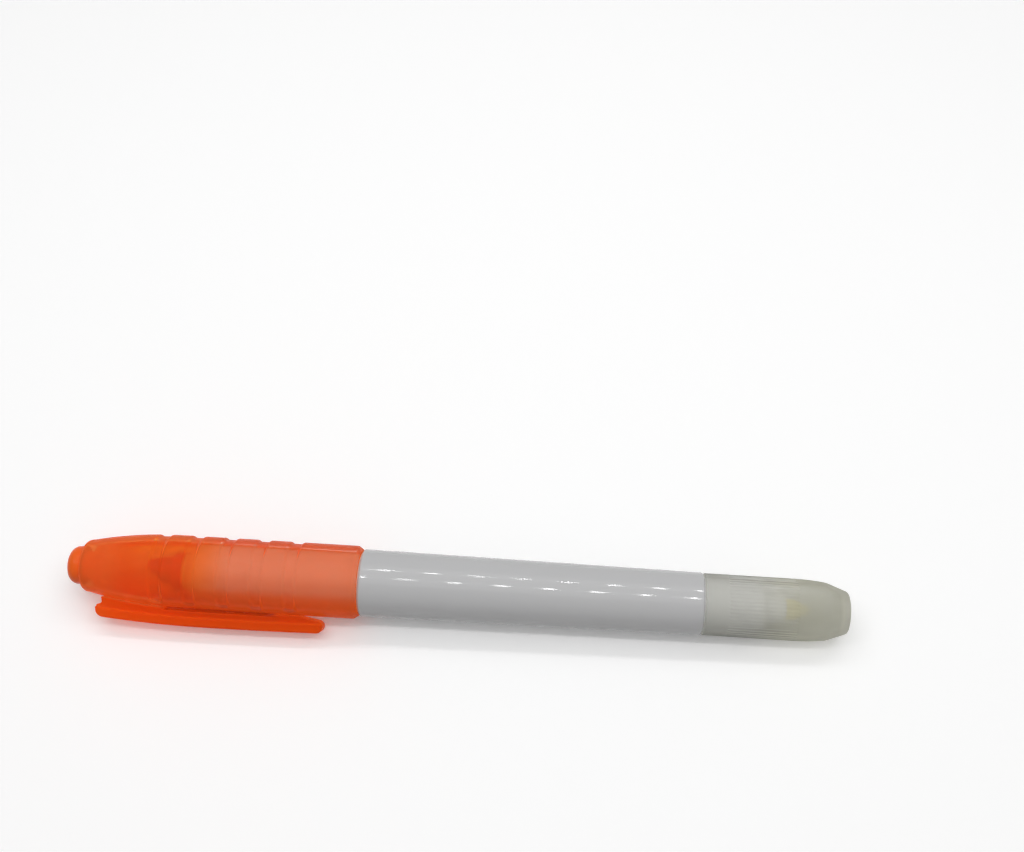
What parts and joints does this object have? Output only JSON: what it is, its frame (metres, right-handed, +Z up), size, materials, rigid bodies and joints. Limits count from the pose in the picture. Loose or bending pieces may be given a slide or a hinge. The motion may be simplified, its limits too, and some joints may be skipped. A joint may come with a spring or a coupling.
{
  "type": "erasable highlighter",
  "caption": "Double-ended erasable highlighter with a white barrel, a translucent orange cap with a pocket clip over a chisel nib, and a frosted fluted cap over an eraser nib.",
  "frame": {"origin": "on the table, below the middle of the box round the whole pen with both caps on", "axes": "+X along the pen towards the eraser cap, +Z up; the pocket clip points towards -Y and down, and rests on the table beside the coloured cap"},
  "size_m": [0.14, 0.0158, 0.0131],
  "materials": {
    "white_plastic": "gloss",
    "natural_plastic": "satin",
    "orange_plastic": "translucent gloss",
    "orange_plug": "translucent gloss",
    "frosted_plastic": "frosted",
    "orange_felt": "felt",
    "cream_felt": "felt",
    "ink_fibre": "fibre",
    "eraser_fibre": "fibre",
    "clear_film": "clear film"
  },
  "bodies": {
    "pen": {"barrel": "white_plastic", "divider": "natural_plastic", "highlighter_section": "natural_plastic", "highlighter_nib": "orange_felt", "ink_reservoir": "ink_fibre", "ink_reservoir_film": "clear_film", "eraser_section": "natural_plastic", "eraser_nib": "cream_felt", "eraser_reservoir": "eraser_fibre", "eraser_reservoir_film": "clear_film"},
    "highlighter_cap": {"highlighter_cap": "orange_plastic", "cap_end_plug": "orange_plug"},
    "eraser_cap": {"eraser_cap": "frosted_plastic"}
  },
  "joints": [
    {"name": "highlighter_cap_slide", "type": "slide", "parent": "pen", "child": "highlighter_cap", "axis": [-1, 0, 0], "range_m": [0, 0.05]},
    {"name": "eraser_cap_slide", "type": "slide", "parent": "pen", "child": "eraser_cap", "axis": [1, 0, 0], "range_m": [0, 0.03]}
  ]
}
